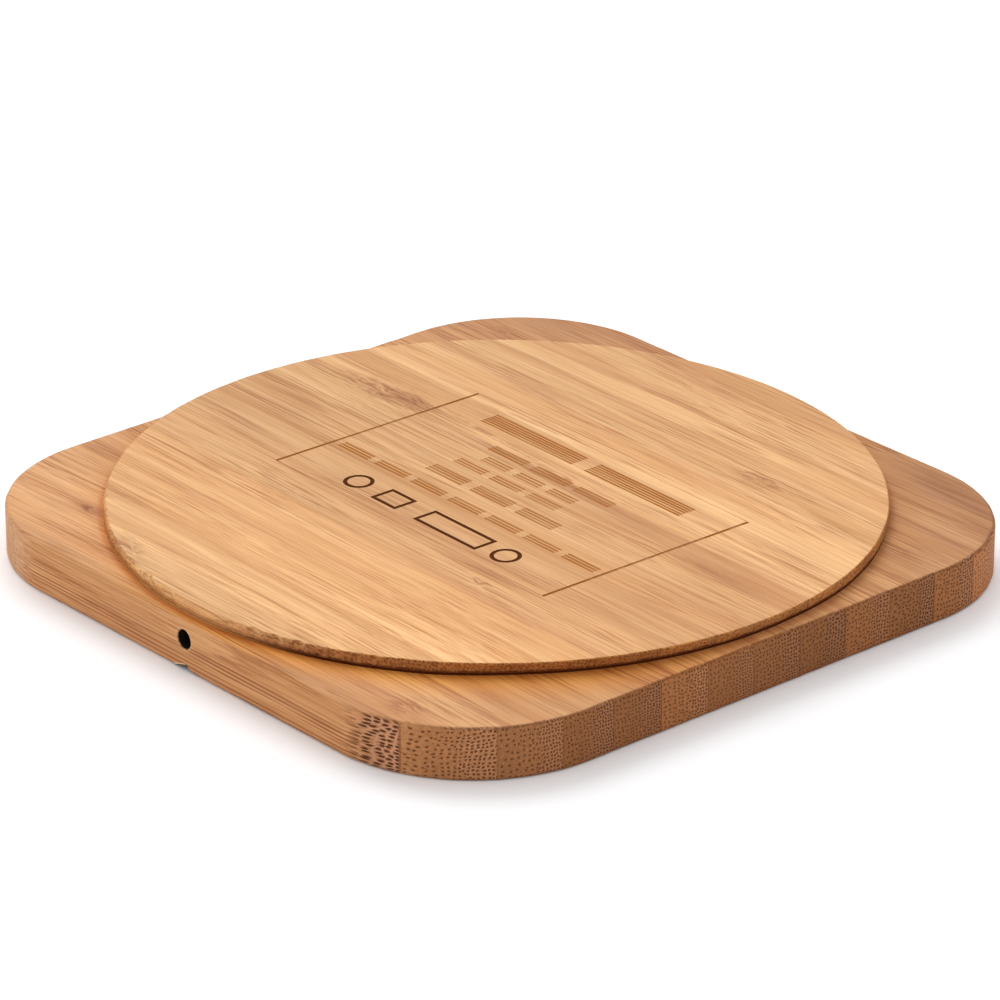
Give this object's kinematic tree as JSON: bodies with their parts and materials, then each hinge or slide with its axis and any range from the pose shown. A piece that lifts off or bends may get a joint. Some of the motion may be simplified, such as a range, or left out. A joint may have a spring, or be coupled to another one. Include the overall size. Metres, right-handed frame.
{
  "type": "wireless charging pad",
  "caption": "Flat square wireless charging pad of laminated bamboo with rounded corners, a round glued-on base cover, a sight hole and a cable socket.",
  "frame": {"origin": "centre of the flat charging face, on the coil's axis; the pad lies with that face down on the surface at z = 0, as pictured, and is turned over for use", "axes": "+Z from the charging face through the base cover; the wood's grain runs along X, so +X and -X are the end-grain sides; -Y is the side with the sight hole for the lamp and +Y the side with the cable socket"},
  "size_m": [0.09, 0.09, 0.0078],
  "materials": {
    "bamboo_block": "sanded, unvarnished laminated bamboo",
    "bamboo_disc": "sanded, unvarnished laminated bamboo, with a burnt-in label",
    "dark_adhesive": "dull dark glue film",
    "white_film": "matt double-sided tape",
    "litz_copper": "enamelled stranded copper",
    "ferrite_grey": "dull sintered ferrite",
    "green_board": "satin solder mask",
    "tin_plate": "bright tinned",
    "black_epoxy": "fine moulded",
    "tan_ceramic": "fired, dull",
    "white_ceramic": "fired, dull",
    "lamp_resin": "clear-yellow resin",
    "socket_steel": "nickel-plated sheet",
    "gold_plate": "flash gold plating"
  },
  "bodies": {
    "root": {"body": "bamboo_block", "base_cover": "bamboo_disc", "cover_tape": "dark_adhesive", "coil_tape": "white_film", "coil": "litz_copper", "ferrite": "ferrite_grey", "ferrite_tape": "white_film", "circuit_board": "green_board", "solder_pads": "tin_plate", "lead_solder": "tin_plate", "controller": "black_epoxy", "controller_pins": "tin_plate", "power_switches": "black_epoxy", "switch_pins": "tin_plate", "resonant_caps": "tan_ceramic", "input_caps": "tan_ceramic", "resistors": "black_epoxy", "chip_terminals": "tin_plate", "crystal_base": "white_ceramic", "crystal_lid": "tin_plate", "inductor_core": "ferrite_grey", "inductor_terminals": "tin_plate", "led_body": "white_ceramic", "led_lens": "lamp_resin", "usb_shell": "socket_steel", "usb_insulator": "black_epoxy", "usb_contacts": "gold_plate"}
  },
  "joints": []
}
